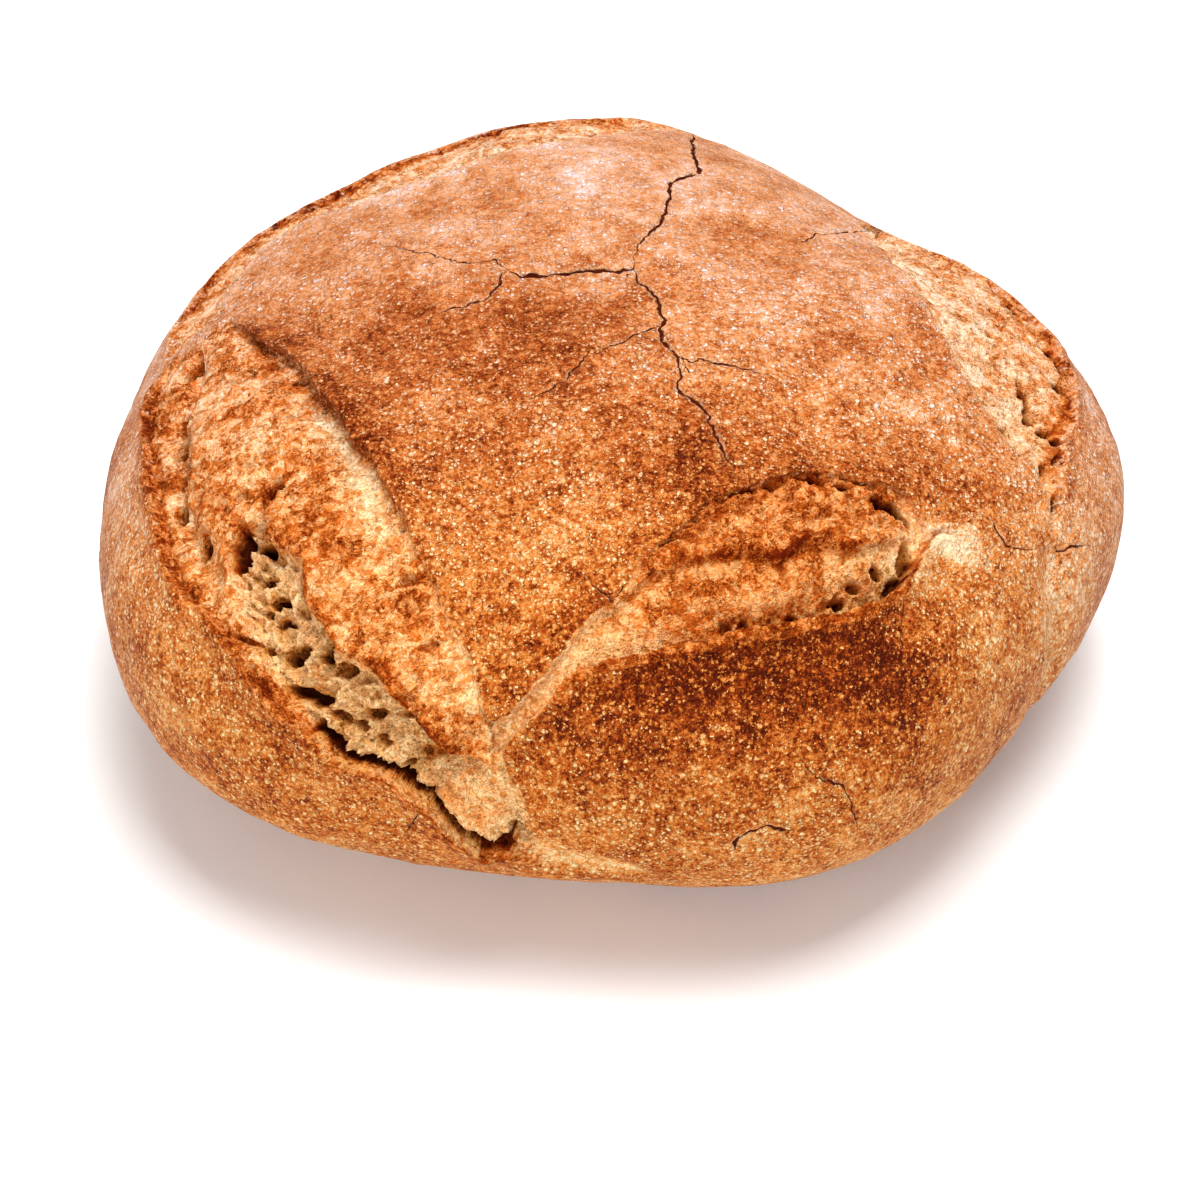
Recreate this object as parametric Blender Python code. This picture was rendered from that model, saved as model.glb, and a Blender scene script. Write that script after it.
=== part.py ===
"""A round sourdough loaf, scored with four cuts in a square that opened in the oven.

Metres, +Z up, standing on its flat base at z = 0. Lines on the crust are given on the peel: the crust
laid flat around the crown, so a point is its bearing and its tape distance from the crown, in mm.
"""

import bmesh
import bpy
import numpy as np
from mathutils import Vector, noise

MM = 0.001

# The bare dome, before anything opened. Its plan is a circle with a few slow swells.
MEAN_RADIUS = 118.0
HEIGHT = 104.0
GIRTH_HEIGHT = 45.0  # where the loaf is widest
UNDERSIDE_DROP = 53.0  # from the girth to where the rounded underside would close
FULLNESS = 2.25  # 2 is an ellipse, more is squarer
PLAN_SWELLS = ((2, 1.5, -40.0), (3, 5.1, -21.5), (4, 2.4, 14.0), (5, 3.1, 8.0))  # count, mm, bearing
SETTLED_HEIGHT = 20.0  # the foot below this has sunk outwards
SETTLED_DROP = 5.0

# Slow unevenness of the crust: size of the swells and how far they rise.
UNEVENNESS = ((38.0, 1.5, 3.0), (15.0, 0.6, 17.0))  # mm, mm, seed
RAGGED_EDGES = ((9.0, 1.6, 40.0), (3.5, 0.7, 60.0))

# The four openings: the edge of the square plate on top, and the rim of the lobe outside it.
LEFT_PLATE_EDGE = ((-96, 13), (-90, 14), (-82, 4), (-69, -10), (-57, -27), (-47, -46), (-43, -62), (-37, -84),
                   (-32, -97), (-28, -113), (-24, -123), (-19, -137), (-17, -150))
LEFT_RIM = ((-98, 8), (-109, 12), (-115, 0), (-111, -16), (-106, -32), (-99, -53), (-92, -68), (-83, -81),
            (-77, -96), (-70, -110), (-64, -120), (-55, -125), (-48, -134), (-43, -142), (-36, -152), (-17, -150))
FRONT_PLATE_EDGE = ((-22, -122), (-17, -113), (-10, -100), (3, -90), (14, -73), (22, -61), (32, -55), (46, -50),
                    (60, -50), (70, -51), (74, -60), (83, -57), (88, -54))
FRONT_RIM = ((-22, -122), (-15, -116), (-8, -108), (1, -106), (19, -99), (32, -93), (43, -90), (55, -84),
             (67, -77), (71, -69), (76, -65), (88, -54))
RIGHT_PLATE_EDGE = ((72, 62), (70, 40), (72, 18), (75, 1), (82, -13), (91, -26), (101, -31), (106, -42), (110, -51))
RIGHT_RIM = ((80, 66), (92, 54), (102, 42), (108, 24), (112, 8), (111, -5), (108, -20), (108, -36), (110, -51))
BACK_PLATE_EDGE = ((-94, 21), (-92, 32), (-85, 46), (-72, 55), (-52, 60), (-28, 64), (-4, 72), (10, 82), (24, 95))
BACK_RIM = ((-111, 14), (-113, 35), (-106, 54), (-92, 70), (-75, 80), (-55, 92), (-33, 99), (-12, 104), (10, 104),
            (24, 95))

# Lines inside the openings: the deep troughs, and the step down from the toasted shelf in front.
LEFT_TROUGH = ((-70, -49), (-76, -59), (-73, -76), (-69, -95), (-61, -111), (-53, -119), (-44, -130), (-33, -143))
LEFT_CHANNEL = ((-99, 1), (-100, -23), (-97, -34), (-94, -44), (-87, -60), (-84, -76))
FRONT_SHELF = ((3, -90), (10, -89), (22, -78), (33, -72), (43, -75), (62, -66), (72, -62))

# Cracks that ran over the plate as it cooled, and the soft folds between the lobes: width and depth in mm.
CRACK_WIDTH = 1.5
CRACK_DEPTH = 1.8
CRACKS = (
    ((24, 95), (23, 77), (17, 52), (16, 38), (11, 27), (9, 15)),
    ((9, 15), (-7, 13), (-18, 11), (-22, 14)),
    ((-22, 14), (-27, 2), (-38, -4)),
    ((9, 15), (13, 1), (14, -10), (20, -21), (27, -21), (39, -25)),
    ((17, -18), (17, -29), (25, -42), (28, -55)),
)
FOLD_WIDTH = 5.0
FOLD_DEPTH = 2.2
FOLDS = (
    ((110, -51), (115, -60), (121, -67), (128, -72), (134, -82)),
    ((-17, -150), (-12, -155), (1, -157), (13, -161)),
)

SPHERE_SUBDIVISIONS = 8
KEPT_FACES = 12400
SPHERE_FACES = 20 * 4 ** (SPHERE_SUBDIVISIONS - 1)
CRUST_COLOUR = (0.52, 0.25, 0.10, 1.0)
CRUST_ROUGHNESS = 0.75


def clear_scene():
    for obj in list(bpy.data.objects):
        bpy.data.objects.remove(obj)


def ease(x):
    x = np.clip(x, 0.0, 1.0)
    return x * x * (3 - 2 * x)


def hump(distance, width):
    return np.exp(-((distance / width) ** 2))


def uneven(points, swells):
    """Slow noise over the points, in mm, as the sum of a few sizes of swell."""
    total = np.zeros(len(points))
    for size, rise, seed in swells:
        shift = Vector((seed, 2 * seed, 3 * seed))
        total += rise * np.array([noise.noise(Vector(p) / size + shift) for p in points])
    return total


def radius_at(bearing):
    """The plan radius of the girth at each bearing."""
    radius = np.full_like(bearing, MEAN_RADIUS)
    for count, swell, peak in PLAN_SWELLS:
        radius += swell * np.cos(count * (bearing - np.radians(peak)))
    return radius


def dome_profile(polar, radius):
    """Distance from the axis and height of the dome at an angle from the crown."""
    rise = np.where(polar <= np.pi / 2, HEIGHT - GIRTH_HEIGHT, UNDERSIDE_DROP)
    out = radius * np.abs(np.sin(polar)) ** (2 / FULLNESS)
    height = GIRTH_HEIGHT + rise * np.sign(np.cos(polar)) * np.abs(np.cos(polar)) ** (2 / FULLNESS)
    return out, height


def tape_from_crown(polar):
    """How far a tape laid down the side from the crown reaches at an angle from the crown."""
    steps = np.linspace(0.0, np.pi, 2000)
    out, height = dome_profile(steps, MEAN_RADIUS)
    lengths = np.concatenate([[0.0], np.cumsum(np.hypot(np.diff(out), np.diff(height)))])
    return np.interp(polar, steps, lengths)


def dome(unit):
    """Points of the bare dome for points of a unit sphere, the way out of its surface, and their peel places."""
    bearing = np.arctan2(unit[:, 1], unit[:, 0])
    polar = np.arccos(np.clip(unit[:, 2], -1.0, 1.0))
    radius = radius_at(bearing)
    out, height = dome_profile(polar, radius)
    points = np.column_stack([out * np.cos(bearing), out * np.sin(bearing), height])
    rise = np.where(height >= GIRTH_HEIGHT, HEIGHT - GIRTH_HEIGHT, UNDERSIDE_DROP)
    above = height - GIRTH_HEIGHT
    outward = np.column_stack([
        np.cos(bearing) * (out / radius) ** (FULLNESS - 1) / radius,
        np.sin(bearing) * (out / radius) ** (FULLNESS - 1) / radius,
        np.sign(above) * np.abs(above / rise) ** (FULLNESS - 1) / rise,
    ])
    outward /= np.linalg.norm(outward, axis=1)[:, None]
    peel = tape_from_crown(polar)[:, None] * np.column_stack([np.cos(bearing), np.sin(bearing)])
    return points, outward, peel


def distance_to(line, peel):
    """The shortest distance to a line of points on the peel, and the share of the line passed there."""
    line = np.array(line, float)
    lengths = np.hypot(*np.diff(line, axis=0).T)
    passed = np.concatenate([[0.0], np.cumsum(lengths)])
    best = np.full(len(peel), np.inf)
    share = np.zeros(len(peel))
    for start, end, before, length in zip(line[:-1], line[1:], passed, lengths):
        along = np.clip((peel - start) @ (end - start) / length**2, 0.0, 1.0)
        distance = np.hypot(*(peel - start - along[:, None] * (end - start)).T)
        nearer = distance < best
        best[nearer] = distance[nearer]
        share[nearer] = ((before + along * length) / passed[-1])[nearer]
    return best, share


def within(first_edge, second_edge, peel):
    """True for the points between two lines that run the same way."""
    outline = np.array(list(first_edge) + list(second_edge)[::-1], float)
    inside = np.zeros(len(peel), bool)
    for (x0, y0), (x1, y1) in zip(outline, np.roll(outline, -1, axis=0)):
        if y0 == y1:
            continue
        crosses = (y0 > peel[:, 1]) != (y1 > peel[:, 1])
        inside ^= crosses & (peel[:, 0] < x0 + (peel[:, 1] - y0) * (x1 - x0) / (y1 - y0))
    return inside


def left_opening(peel):
    """The wide opening: a torn skin that bulges, a trough of open crumb and a gap under the raised rim."""
    plate, _ = distance_to(LEFT_PLATE_EDGE, peel)
    rim, share = distance_to(LEFT_RIM, peel)
    trough, _ = distance_to(LEFT_TROUGH, peel)
    channel, _ = distance_to(LEFT_CHANNEL, peel)
    across = plate / (plate + rim + 0.01)
    floor = -3.2 * ease(plate / 2.5) + 1.8 * np.sin(np.pi * across)
    floor -= 5.5 * hump(trough, 6.0) + 4.0 * hump(channel, 3.5)
    floor -= 6.0 * hump(rim - 2.5, 2.5) * ease((share - 0.45) / 0.15) * ease((0.97 - share) / 0.1)
    floor *= ease(rim / 1.5)
    raised = 2.6 * hump(rim, 4.0) + 1.2 * hump(plate, 6.0)
    return np.where(within(LEFT_PLATE_EDGE, LEFT_RIM, peel), floor, raised)


def front_opening(peel):
    """The opening in front: a rough shelf under the arched plate, then a slope down behind a thin ear."""
    plate, _ = distance_to(FRONT_PLATE_EDGE, peel)
    rim, share = distance_to(FRONT_RIM, peel)
    shelf, _ = distance_to(FRONT_SHELF, peel)
    slope = within(FRONT_SHELF, FRONT_RIM[3:], peel)
    middle = np.sin(np.pi * np.clip(share, 0.0, 1.0))
    floor = -3.0 * ease(plate / 2.5)
    floor -= np.where(slope, 6.0 * ease(shelf / (shelf + rim + 0.01)), 0.0) * middle
    floor *= ease(rim / 1.5)
    raised = (1.0 + 3.2 * middle) * hump(rim, 4.5) + 2.4 * hump(plate, 8.0) * middle
    return np.where(within(FRONT_PLATE_EDGE, FRONT_RIM, peel), floor, raised)


def side_opening(plate_edge, rim_edge, depth, ear, peel):
    """A plain opening: crumb that sinks between the plate and a raised rim."""
    plate, _ = distance_to(plate_edge, peel)
    rim, share = distance_to(rim_edge, peel)
    middle = np.sin(np.pi * np.clip(share, 0.0, 1.0))
    floor = -depth * ease(plate / 3.0) * ease(rim / 6.0)
    raised = ear * middle * hump(rim, 4.5) + 0.8 * hump(plate, 5.0) * middle
    return np.where(within(plate_edge, rim_edge, peel), floor, raised)


def relief(points, peel):
    """How far the crust stands out from the bare dome, in mm."""
    ragged = np.column_stack([uneven(points, RAGGED_EDGES), uneven(points[:, [1, 2, 0]], RAGGED_EDGES)])
    torn = peel + ragged
    height = uneven(points, UNEVENNESS)
    height += left_opening(torn) + front_opening(torn)
    height += side_opening(RIGHT_PLATE_EDGE, RIGHT_RIM, 3.6, 2.2, torn)
    height += side_opening(BACK_PLATE_EDGE, BACK_RIM, 4.5, 3.0, torn)
    for line in CRACKS:
        distance, _ = distance_to(line, torn)
        height -= CRACK_DEPTH * hump(distance, CRACK_WIDTH)
    for line in FOLDS:
        distance, _ = distance_to(line, torn)
        height -= FOLD_DEPTH * hump(distance, FOLD_WIDTH)
    return height


def settle(points):
    """The foot of the loaf sinks and spreads under its own weight."""
    foot = np.clip(1 - points[:, 2] / SETTLED_HEIGHT, 0.0, 1.6)
    points[:, 2] -= SETTLED_DROP * foot**2
    return points


def shaped_loaf():
    """A unit sphere of small triangles, drawn out to the loaf."""
    mesh = bpy.data.meshes.new("loaf")
    sphere = bmesh.new()
    bmesh.ops.create_icosphere(sphere, subdivisions=SPHERE_SUBDIVISIONS, radius=1.0)
    sphere.to_mesh(mesh)
    sphere.free()
    unit = np.zeros(len(mesh.vertices) * 3)
    mesh.vertices.foreach_get("co", unit)
    unit = unit.reshape(-1, 3) / np.linalg.norm(unit.reshape(-1, 3), axis=1)[:, None]
    points, outward, peel = dome(unit)
    points += outward * relief(points, peel)[:, None]
    mesh.vertices.foreach_set("co", (settle(points) * MM).ravel())
    loaf = bpy.data.objects.new("loaf", mesh)
    bpy.context.scene.collection.objects.link(loaf)
    return loaf


def thin_out(loaf):
    """Fewer faces where the crust is smooth, all of them where it is torn."""
    thinner = loaf.modifiers.new("thinner", "DECIMATE")
    thinner.ratio = KEPT_FACES / SPHERE_FACES
    thinned = loaf.evaluated_get(bpy.context.evaluated_depsgraph_get())
    mesh = bpy.data.meshes.new_from_object(thinned)
    loaf.modifiers.remove(thinner)
    loaf.data = mesh


def cut_base(loaf):
    """The flat base where the loaf lay on the oven floor, and the origin under the middle of the loaf."""
    cut = bmesh.new()
    cut.from_mesh(loaf.data)
    everything = cut.verts[:] + cut.edges[:] + cut.faces[:]
    done = bmesh.ops.bisect_plane(
        cut, geom=everything, plane_co=(0, 0, 0), plane_no=(0, 0, 1), clear_inner=True, dist=0.02 * MM
    )
    border = [item for item in done["geom_cut"] if isinstance(item, bmesh.types.BMEdge)]
    bmesh.ops.contextual_create(cut, geom=border)
    corners = np.array([vertex.co for vertex in cut.verts])
    middle = (corners.min(axis=0) + corners.max(axis=0)) / 2
    bmesh.ops.translate(cut, verts=cut.verts, vec=(-middle[0], -middle[1], 0))
    bmesh.ops.recalc_face_normals(cut, faces=cut.faces)
    cut.to_mesh(loaf.data)
    cut.free()


def crust_material():
    crust = bpy.data.materials.new("crust")
    crust.use_nodes = True
    surface = crust.node_tree.nodes["Principled BSDF"]
    surface.inputs["Base Color"].default_value = CRUST_COLOUR
    surface.inputs["Roughness"].default_value = CRUST_ROUGHNESS
    surface.inputs["Metallic"].default_value = 0.0
    return crust


clear_scene()
loaf = shaped_loaf()
thin_out(loaf)
cut_base(loaf)
loaf.data.materials.clear()
loaf.data.materials.append(crust_material())
loaf.data.shade_smooth()
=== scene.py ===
"""A sourdough loaf on a pale studio floor: the dome, the four cuts that tore open, and the crust."""

import math

import bpy
import numpy as np
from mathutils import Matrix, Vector, noise


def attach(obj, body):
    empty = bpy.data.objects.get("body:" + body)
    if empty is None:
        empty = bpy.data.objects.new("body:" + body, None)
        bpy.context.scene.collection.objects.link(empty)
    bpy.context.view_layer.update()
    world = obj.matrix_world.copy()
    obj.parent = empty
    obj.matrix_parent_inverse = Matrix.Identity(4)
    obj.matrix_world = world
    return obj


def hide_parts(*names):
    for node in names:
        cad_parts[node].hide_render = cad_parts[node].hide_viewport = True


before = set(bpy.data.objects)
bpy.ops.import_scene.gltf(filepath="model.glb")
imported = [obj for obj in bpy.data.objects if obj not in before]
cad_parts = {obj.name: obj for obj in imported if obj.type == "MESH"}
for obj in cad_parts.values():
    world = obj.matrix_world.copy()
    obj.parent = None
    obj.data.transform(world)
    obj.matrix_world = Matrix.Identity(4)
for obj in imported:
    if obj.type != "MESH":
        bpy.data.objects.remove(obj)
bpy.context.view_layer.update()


# The dome. A ball of dough that spread a little as it rose, so its plan is a circle with slow
# swells and its foot has sunk outwards. It is made as a sphere of small triangles that is drawn
# out to the dome. Places on it are read on the peel: the crust laid flat round the crown, in mm.
MM = 0.001
MEAN_RADIUS = 118.0
HEIGHT = 104.0
GIRTH_HEIGHT = 45.0
UNDERSIDE_DROP = 53.0
FULLNESS = 2.25
PLAN_SWELLS = ((2, 1.5, -40.0), (3, 5.1, -21.5), (4, 2.4, 14.0), (5, 3.1, 8.0))
SETTLED_HEIGHT = 20.0
SETTLED_DROP = 5.0
CROWN_OFF_MIDDLE = (-4.19, -5.97)
START_SUBDIVISIONS = 6
REFINING_ROUNDS = 5


def ease(x):
    x = np.clip(x, 0.0, 1.0)
    return x * x * (3 - 2 * x)


def hump(distance, width):
    return np.exp(-((distance / width) ** 2))


def wander(places, size, seed):
    """Smooth noise of one size over the places, from -1 to 1."""
    shifted = places / size + np.array([1.0, 2.0, 3.0]) * seed
    return np.array([noise.noise(place) for place in shifted.tolist()])


def uneven(places, swells):
    return sum(rise * wander(places, size, seed) for size, rise, seed in swells)


def dome(unit):
    """Points of the bare dome, the way out of its surface, and their places on the peel."""
    bearing = np.arctan2(unit[:, 1], unit[:, 0])
    polar = np.arccos(np.clip(unit[:, 2], -1.0, 1.0))
    radius = np.full_like(bearing, MEAN_RADIUS)
    for count, swell, peak in PLAN_SWELLS:
        radius += swell * np.cos(count * (bearing - math.radians(peak)))

    def profile(angle, reach):
        rise = np.where(angle <= np.pi / 2, HEIGHT - GIRTH_HEIGHT, UNDERSIDE_DROP)
        out = reach * np.abs(np.sin(angle)) ** (2 / FULLNESS)
        return out, GIRTH_HEIGHT + rise * np.sign(np.cos(angle)) * np.abs(np.cos(angle)) ** (2 / FULLNESS)

    out, height = profile(polar, radius)
    points = np.column_stack([out * np.cos(bearing), out * np.sin(bearing), height])
    rise = np.where(height >= GIRTH_HEIGHT, HEIGHT - GIRTH_HEIGHT, UNDERSIDE_DROP)
    above = height - GIRTH_HEIGHT
    lean = (out / radius) ** (FULLNESS - 1) / radius
    climb = np.sign(above) * np.abs(above / rise) ** (FULLNESS - 1) / rise
    outward = np.column_stack([np.cos(bearing) * lean, np.sin(bearing) * lean, climb])
    outward /= np.linalg.norm(outward, axis=1)[:, None]
    steps = np.linspace(0.0, np.pi, 2000)
    tape_out, tape_height = profile(steps, MEAN_RADIUS)
    lengths = np.concatenate([[0.0], np.cumsum(np.hypot(np.diff(tape_out), np.diff(tape_height)))])
    tape = np.interp(polar, steps, lengths)
    peel = tape[:, None] * np.column_stack([np.cos(bearing), np.sin(bearing)])
    return points, outward, peel, bearing


# The cuts. Four slashes round the top let the dough burst: the plate in the middle was pushed up,
# a lobe was pushed out past each cut, and crumb was stretched between. Each opening runs between
# the plate's edge and the lobe's rim. Torn edges are ragged; what stands proud in them is browned.
UNEVENNESS = ((38.0, 1.5, 3.0), (21.0, 0.6, 29.0), (15.0, 0.6, 17.0))
RAGGED_EDGES = ((9.0, 1.6, 40.0), (3.5, 0.7, 60.0))
FINE_RAGS = 0.35
LEFT_PLATE_EDGE = (
    (-96, 13), (-90, 14), (-82, 4), (-69, -10), (-57, -27), (-47, -46), (-43, -62), (-37, -84),
    (-32, -97), (-28, -113), (-24, -123), (-19, -137), (-17, -150),
)
LEFT_RIM = (
    (-98, 8), (-109, 12), (-115, 0), (-111, -16), (-106, -32), (-99, -53), (-92, -68), (-83, -81),
    (-77, -96), (-70, -110), (-64, -120), (-55, -125), (-48, -134), (-43, -142), (-36, -152),
    (-17, -150),
)
FRONT_PLATE_EDGE = (
    (-27, -116), (-22, -116), (-17, -112), (-11, -104), (-4, -97), (4, -90), (13, -74), (22, -62),
    (32, -55), (46, -50), (60, -50), (70, -51), (74, -60), (83, -57), (88, -54),
)
FRONT_RIM = (
    (-25, -125), (-20, -120), (-14, -117), (-7, -109), (3, -104), (19, -99), (32, -93), (43, -90),
    (55, -84), (67, -77), (71, -69), (74, -62), (81, -58.5), (88, -54),
)
RIGHT_PLATE_EDGE = (
    (72, 62), (70, 40), (72, 18), (75, 1), (82, -13), (91, -26), (101, -31), (106, -42), (110, -51),
)
RIGHT_RIM = (
    (80, 66), (92, 54), (102, 42), (108, 24), (112, 8), (111, -5), (108, -20), (108, -36),
    (110, -51),
)
BACK_PLATE_EDGE = (
    (-94, 21), (-92, 32), (-85, 46), (-72, 55), (-52, 60), (-28, 64), (-4, 72), (10, 82), (24, 95),
)
BACK_RIM = (
    (-111, 14), (-113, 35), (-106, 54), (-92, 70), (-75, 80), (-55, 92), (-33, 99), (-12, 104),
    (10, 104), (24, 95),
)
# Inside the left opening: the torn skin's lower edge, the far side of the trough, and the channel
# that runs down beside the rim.
SKIN_EDGE = (
    (-70, -49), (-70, -58), (-64, -67), (-62, -81), (-59, -91), (-51, -99), (-46, -112),
    (-37, -122), (-29, -126), (-24, -132), (-21, -140),
)
TROUGH_SIDE = (
    (-70, -49), (-76, -56), (-80, -69), (-79, -84), (-75, -96), (-71, -109), (-64, -121),
    (-55, -127), (-47, -138), (-38, -150), (-18, -148), (-21, -140),
)
CHANNEL = (
    (-99, 2), (-101, -20), (-97, -34), (-94, -44), (-87, -60), (-84, -76),
)
FRONT_SHELF = (
    (-22, -122), (-15, -113), (-5, -100), (5, -90), (12, -82), (22, -75), (32, -73), (39, -74),
    (45, -67), (53, -68), (61, -66), (68, -63), (72, -61),
)
# The bigger holes: place, half length and half width, lean in degrees and depth.
LEFT_HOLES = (
    (-70, -49, 3.2, 1.3, 60, 4.5), (-77, -60, 5.2, 1.7, 72, 6.5), (-72, -60, 1.7, 1.3, 0, 5.0),
    (-73, -69, 2.0, 1.4, 0, 3.5), (-72, -74, 2.2, 1.6, 0, 4.0), (-72, -80, 1.5, 1.5, 0, 4.0),
    (-70, -81, 0.8, 0.7, 0, 2.5), (-75, -76, 1.0, 0.8, 60, 3.0), (-79, -83, 2.4, 0.9, -50, 3.0),
    (-70, -89, 2.6, 1.9, 0, 4.0), (-63, -91, 2.8, 1.6, 20, 4.0), (-76, -86, 1.8, 0.9, -50, 3.0),
    (-60, -96, 2.6, 1.8, 0, 3.0), (-71, -98, 4.2, 1.6, -52, 5.0), (-68, -102, 3.2, 1.8, -50, 5.5),
    (-56, -109, 2.8, 1.6, -30, 3.0), (-64, -108, 2.6, 1.2, -50, 3.5),
    (-60, -111, 2.2, 1.0, -45, 3.0), (-55, -116, 2.2, 1.1, -40, 3.0), (-50, -124, 1.2, 0.9, 0, 2.5),
    (-44, -123, 3.4, 1.6, -20, 2.5), (-48, -112, 3.0, 1.4, -20, 2.4), (-77, -48, 2.2, 1.2, 20, 1.8),
    (-81, -50, 1.5, 1.2, 0, 1.3), (-60, -46, 2.4, 1.0, 20, 1.3), (-57, -68, 4.2, 2.5, 10, 1.2),
    (-62, -62, 1.2, 0.8, 60, 1.2), (-47, -107, 1.6, 0.8, -30, 1.4), (-40, -98, 2.4, 1.2, 0, 1.8),
    (-43, -80, 1.5, 1.4, 0, 1.6), (-43, -89, 2.2, 1.2, 60, 1.2), (-54, -92, 1.4, 0.9, 0, 1.4),
    (-100, -14, 3.4, 2.6, 80, 5.5), (-100, -23, 3.2, 2.2, 60, 5.5), (-96, -34, 2.8, 2.3, 60, 5.5),
    (-101, 4, 4.0, 2.0, 50, 4.0), (-95, -44, 3.0, 2.0, 70, 4.5), (-88, -56, 3.4, 1.6, 75, 4.0),
    (-92, -68, 1.4, 0.8, 60, 2.0), (-110, -14, 4.0, 0.8, 80, 2.0), (-109, -26, 4.0, 0.8, 75, 2.0),
    (-68, -16, 2.0, 1.2, 0, 2.6), (-74, -9, 2.8, 0.9, -10, 2.0), (-81, -10, 0.8, 0.8, 0, 1.6),
    (-90, -9, 1.0, 0.8, 0, 1.4),
)
FRONT_HOLES = (
    (65, -56, 4.2, 1.7, -25, 5.5), (42, -50, 2.4, 0.9, 0, 3.0), (46, -53, 3.0, 1.0, 5, 3.0),
    (53, -53, 2.6, 0.9, 0, 3.0), (37, -55, 2.2, 0.9, 10, 2.6), (31, -57, 3.0, 0.9, 20, 2.4),
    (58, -51, 1.6, 0.8, -10, 2.4), (15, -73, 2.4, 0.9, 30, 1.8), (69, -66, 3.8, 1.7, -75, 2.6),
    (68, -72, 2.2, 1.4, 40, 3.0), (62, -71, 1.8, 1.2, 0, 3.0), (57, -75, 1.6, 1.2, 0, 2.6),
    (54, -79, 1.5, 1.1, 0, 2.4), (49, -84, 1.4, 1.0, 0, 2.2), (44, -85, 1.4, 1.1, 0, 2.2),
    (33, -88, 1.5, 2.0, 0, 2.2), (29, -89, 1.3, 1.6, 0, 2.0), (24, -94, 1.0, 1.3, 0, 1.6),
    (20, -96, 1.0, 1.0, 0, 1.4),
)
RIGHT_HOLES = (
    (101, 31, 1.8, 1.0, -50, 3.0), (91, 14, 2.6, 0.9, -30, 1.8), (107, 15, 1.6, 1.0, -70, 3.4),
    (109, 10, 2.0, 1.1, -70, 3.6), (108, 2, 1.5, 1.0, 0, 3.0), (98, -5, 4.4, 1.2, -70, 3.2),
    (100, -12, 2.6, 1.4, -70, 3.4), (104, -16, 1.8, 1.2, 0, 3.0), (107, -18, 1.4, 1.0, 0, 3.0),
    (107, -24, 2.0, 0.8, 80, 2.8), (108, -38, 3.0, 0.6, -75, 3.0), (111, -48, 4.0, 0.9, -75, 4.0),
    (104, 24, 1.4, 0.9, -50, 2.6), (96, 24, 1.8, 0.9, -40, 1.6), (105, -28, 1.8, 0.7, -75, 2.4),
)


def reach(line, peel):
    """The distance to a line on the peel, the share of it passed, and the side: above 0 on its left."""
    line = np.array(line, float)
    lengths = np.hypot(*np.diff(line, axis=0).T)
    passed = np.concatenate([[0.0], np.cumsum(lengths)])
    best = np.full(len(peel), np.inf)
    share = np.zeros(len(peel))
    side = np.ones(len(peel))
    for start, end, before, length in zip(line[:-1], line[1:], passed, lengths):
        way = end - start
        along = np.clip((peel - start) @ way / length**2, 0.0, 1.0)
        off = peel - start - along[:, None] * way
        distance = np.hypot(*off.T)
        nearer = distance < best
        best[nearer] = distance[nearer]
        share[nearer] = ((before + along * length) / passed[-1])[nearer]
        side[nearer] = np.sign(way[0] * off[:, 1] - way[1] * off[:, 0])[nearer]
    return best, share, side


def within(first_edge, second_edge, peel):
    outline = np.array(list(first_edge) + list(second_edge)[::-1], float)
    inside = np.zeros(len(peel), bool)
    for (x0, y0), (x1, y1) in zip(outline, np.roll(outline, -1, axis=0)):
        if y0 == y1:
            continue
        crosses = (y0 > peel[:, 1]) != (y1 > peel[:, 1])
        inside ^= crosses & (peel[:, 0] < x0 + (peel[:, 1] - y0) * (x1 - x0) / (y1 - y0))
    return inside


def holes(table, peel):
    """How deep the bigger holes go, in mm, with steep sides."""
    deepest = np.zeros(len(peel))
    for x, y, long, short, lean, depth in table:
        off = peel - (x, y)
        near = np.hypot(*off.T) < 1.6 * max(long, short)
        cos = math.cos(math.radians(lean))
        sin = math.sin(math.radians(lean))
        off = off[near]
        apart = np.hypot((off @ (cos, sin)) / long, (off @ (-sin, cos)) / short)
        deepest[near] = np.maximum(deepest[near], depth * ease((1.3 - apart) / 0.6))
    return deepest


def honeycomb(places, size, seed):
    """Crumb: 1 in the middle of a cell and 0 on the walls between, with a random depth to each cell."""
    shifted = places / size + np.array([3.0, 1.0, 2.0]) * seed
    near = []
    second = []
    deep = []
    for place in shifted.tolist():
        distances, centres = noise.voronoi(place)
        near.append(distances[0])
        second.append(distances[1])
        deep.append(noise.cell(centres[0] * 7.3))
    wall = ease((np.array(second) - np.array(near)) / 0.28)
    return wall * (0.35 + 0.65 * np.abs(np.array(deep)))


class Torn:
    """What is known of each place: its height and push in mm, and what its material needs."""

    def __init__(self, count):
        self.lift = np.zeros(count)
        self.push = np.zeros((count, 2))
        self.open = np.full(count, -8.0)
        self.toast = np.zeros(count)
        # Painted shade, 0 to 1: how much darker the crumb is drawn in its hollows.
        self.pit = np.zeros(count)
        self.bake = np.zeros(count)
        self.soft = np.ones(count)

    def fill(self, chosen, **values):
        for name, value in values.items():
            getattr(self, name)[chosen] = value[chosen] if np.ndim(value) else value


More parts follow.
